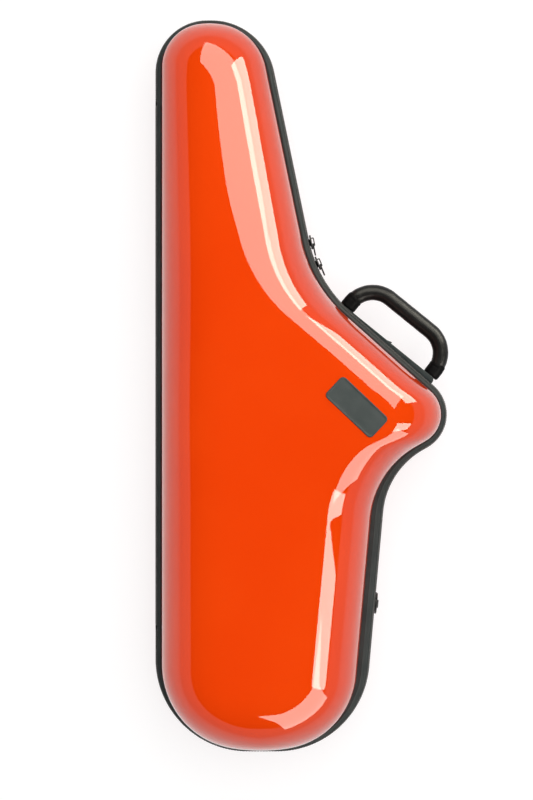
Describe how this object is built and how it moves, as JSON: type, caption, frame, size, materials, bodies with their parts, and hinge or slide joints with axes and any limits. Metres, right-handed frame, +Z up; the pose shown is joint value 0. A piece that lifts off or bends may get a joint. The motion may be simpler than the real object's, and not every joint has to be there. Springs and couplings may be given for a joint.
{
  "type": "tenor saxophone case",
  "caption": "Moulded two-shell case shaped to a tenor saxophone, closed by a zip round its edge, with a carrying handle and padding inside.",
  "frame": {"origin": "middle of the case's overall plan box, on the ground under its flat back", "axes": "+Y from the bow end to the neck end, +Z up through the lid, +X from the spine to the bell and handle"},
  "size_m": [0.3356, 0.8326, 0.1959],
  "materials": {
    "orange_shell": "glossy lacquered moulded shell",
    "rim_band": "satin moulded edge band",
    "zip_tape": "woven tape, bonded to the rim",
    "zip_teeth": "moulded zip coil",
    "foam": "closed-cell padding",
    "lining": "short-pile lining",
    "name_plate": "moulded soft rubber with a raised edge, left bare",
    "seal_rubber": "soft lip seal",
    "black_metal": "black gloss plated",
    "pad_velour": "velour over foam",
    "strip_plastic": "satin moulded",
    "ferrule_plastic": "matte moulded",
    "core_rubber": "flexible core",
    "grip_cover": "smooth soft-touch cover",
    "bolt_steel": "zinc plated"
  },
  "bodies": {
    "base": {"base_shell": "orange_shell", "base_rim": "rim_band", "base_zip_tape": "zip_tape", "base_zip_teeth": "zip_teeth", "base_hinge_tape": "zip_tape", "base_foam": "foam", "base_lining": "lining", "rim_seal": "seal_rubber", "zip_end_stops": "black_metal", "bell_pad": "pad_velour", "bow_pad": "pad_velour", "body_cradle_lower": "pad_velour", "body_cradle_upper": "pad_velour", "neck_pad": "pad_velour", "handle_strip": "strip_plastic", "strip_clip": "strip_plastic", "handle_ferrule_upper": "ferrule_plastic", "handle_ferrule_lower": "ferrule_plastic", "handle_core": "core_rubber", "handle_grip": "grip_cover", "handle_bolts": "bolt_steel", "handle_backing_plates": "bolt_steel", "strap_tab": "black_metal", "strap_rivets": "black_metal"},
    "lid": {"lid_shell": "orange_shell", "lid_rim": "rim_band", "lid_zip_tape": "zip_tape", "lid_zip_teeth": "zip_teeth", "lid_hinge_tape": "zip_tape", "lid_foam": "foam", "lid_lining": "lining", "name_plate": "name_plate"},
    "slider_upper": {"slider_upper": "black_metal"},
    "slider_lower": {"slider_lower": "black_metal"},
    "pull_upper": {"pull_upper": "black_metal"},
    "pull_lower": {"pull_lower": "black_metal"},
    "strap_ring": {"strap_ring": "black_metal"}
  },
  "joints": [
    {"name": "lid_hinge", "type": "hinge", "parent": "base", "child": "lid", "pos_m": [-0.16778, 0, 0.092], "axis": [0, -1, 0], "range_deg": [0, 170]},
    {"name": "slider_upper_slide", "type": "slide", "parent": "base", "child": "slider_upper", "axis": [-0.2028, 0.9792, 0], "range_m": [0, 0.17]},
    {"name": "slider_lower_swing", "type": "hinge", "parent": "base", "child": "slider_lower", "pos_m": [0.15273, 0.19639, 0.092], "axis": [0, 0, 1], "range_deg": [0, 20]},
    {"name": "pull_upper_hinge", "type": "hinge", "parent": "slider_upper", "child": "pull_upper", "pos_m": [0.01198, 0.16152, 0.092], "axis": [0, 0, 1], "range_deg": [0, 140]},
    {"name": "pull_lower_hinge", "type": "hinge", "parent": "slider_lower", "child": "pull_lower", "pos_m": [0.02006, 0.13807, 0.092], "axis": [0, 0, 1], "range_deg": [0, 140]},
    {"name": "strap_ring_hinge", "type": "hinge", "parent": "base", "child": "strap_ring", "pos_m": [0.0849, -0.24986, 0.0776], "axis": [-0.0897, -0.996, 0], "range_deg": [-10, 115]}
  ]
}
